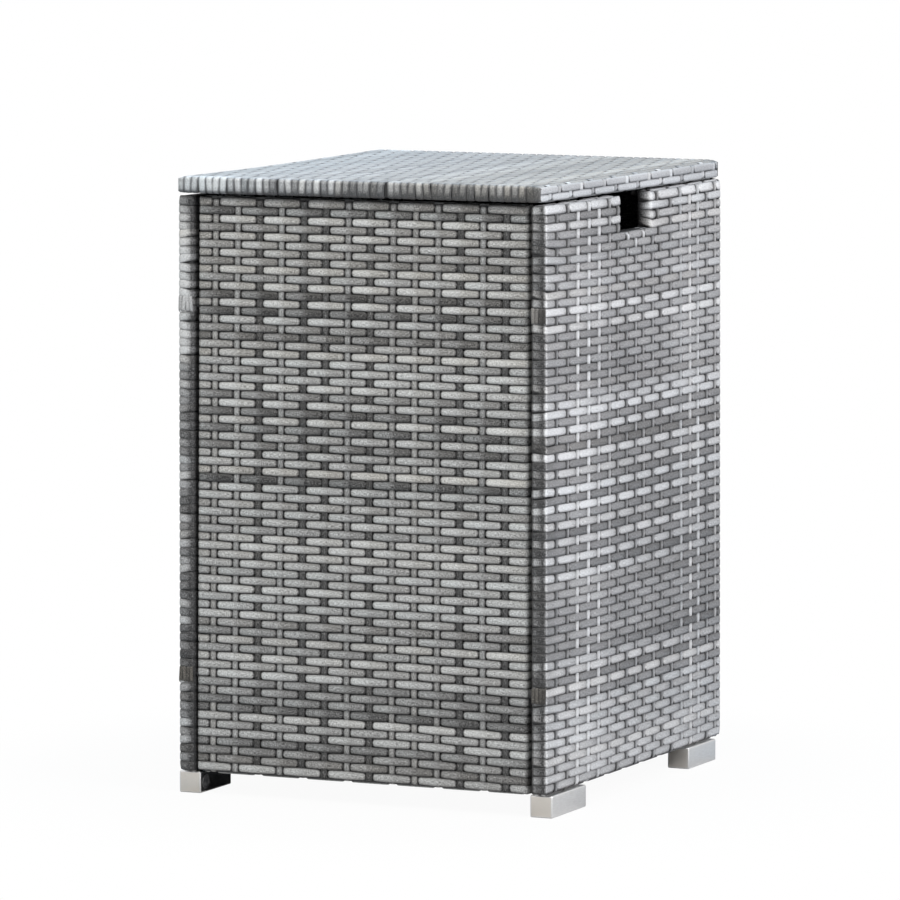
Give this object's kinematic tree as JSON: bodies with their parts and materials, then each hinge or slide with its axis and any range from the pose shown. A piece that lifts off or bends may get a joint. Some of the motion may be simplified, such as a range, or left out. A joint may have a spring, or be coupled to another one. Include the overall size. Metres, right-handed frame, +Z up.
{
  "type": "propane tank cover table",
  "caption": "Woven resin cover box with metal feet, a hose notch and a lift-off lid, standing over a gas tank as a side table.",
  "frame": {"origin": "middle of the footprint, at the underside of the feet", "axes": "+X to the right along the front panel, +Y to the back, +Z up; the hose notch is on the +X side"},
  "size_m": [0.4054, 0.458, 0.6203],
  "materials": {
    "panel_strand": "satin extruded strand, mixed greys",
    "lid_strand": "satin extruded strand, mixed greys",
    "frame_tube": "satin powder coat",
    "foot": "satin brushed",
    "fastener": "zinc plated",
    "spacer": "matte",
    "pad": "matte"
  },
  "bodies": {
    "cabinet": {"front_weave": "panel_strand", "front_stile_left": "frame_tube", "front_stile_right": "frame_tube", "front_rail_bottom": "frame_tube", "front_rail_top": "frame_tube", "back_weave": "panel_strand", "back_stile_left": "frame_tube", "back_stile_right": "frame_tube", "back_rail_bottom": "frame_tube", "back_rail_top": "frame_tube", "right_weave": "panel_strand", "right_stile_front": "frame_tube", "right_stile_back": "frame_tube", "right_rail_bottom": "frame_tube", "right_rail_top_front": "frame_tube", "right_rail_top_back": "frame_tube", "right_notch_saddle": "frame_tube", "left_weave": "panel_strand", "left_stile_front": "frame_tube", "left_stile_back": "frame_tube", "left_rail_bottom": "frame_tube", "left_rail_top": "frame_tube", "bolt_front_left_top": "fastener", "spacer_front_left_top": "spacer", "bolt_front_left_bottom": "fastener", "spacer_front_left_bottom": "spacer", "bolt_front_right_top": "fastener", "spacer_front_right_top": "spacer", "bolt_front_right_bottom": "fastener", "spacer_front_right_bottom": "spacer", "bolt_back_left_top": "fastener", "spacer_back_left_top": "spacer", "bolt_back_left_bottom": "fastener", "spacer_back_left_bottom": "spacer", "bolt_back_right_top": "fastener", "spacer_back_right_top": "spacer", "bolt_back_right_bottom": "fastener", "spacer_back_right_bottom": "spacer", "foot_front_left": "foot", "foot_screw_front_left": "fastener", "foot_front_right": "foot", "foot_screw_front_right": "fastener", "foot_back_left": "foot", "foot_screw_back_left": "fastener", "foot_back_right": "foot", "foot_screw_back_right": "fastener"},
    "lid": {"lid_weave": "lid_strand", "lid_bar_front": "frame_tube", "lid_bar_back": "frame_tube", "lid_bar_left": "frame_tube", "lid_bar_right": "frame_tube", "lid_cross_bar": "frame_tube", "lid_pad_front_left": "pad", "lid_pad_front_right": "pad", "lid_pad_back_left": "pad", "lid_pad_back_right": "pad"}
  },
  "joints": [
    {"name": "lid_lift", "type": "slide", "parent": "cabinet", "child": "lid", "axis": [0, 0, 1], "range_m": [0, 0.3]}
  ]
}
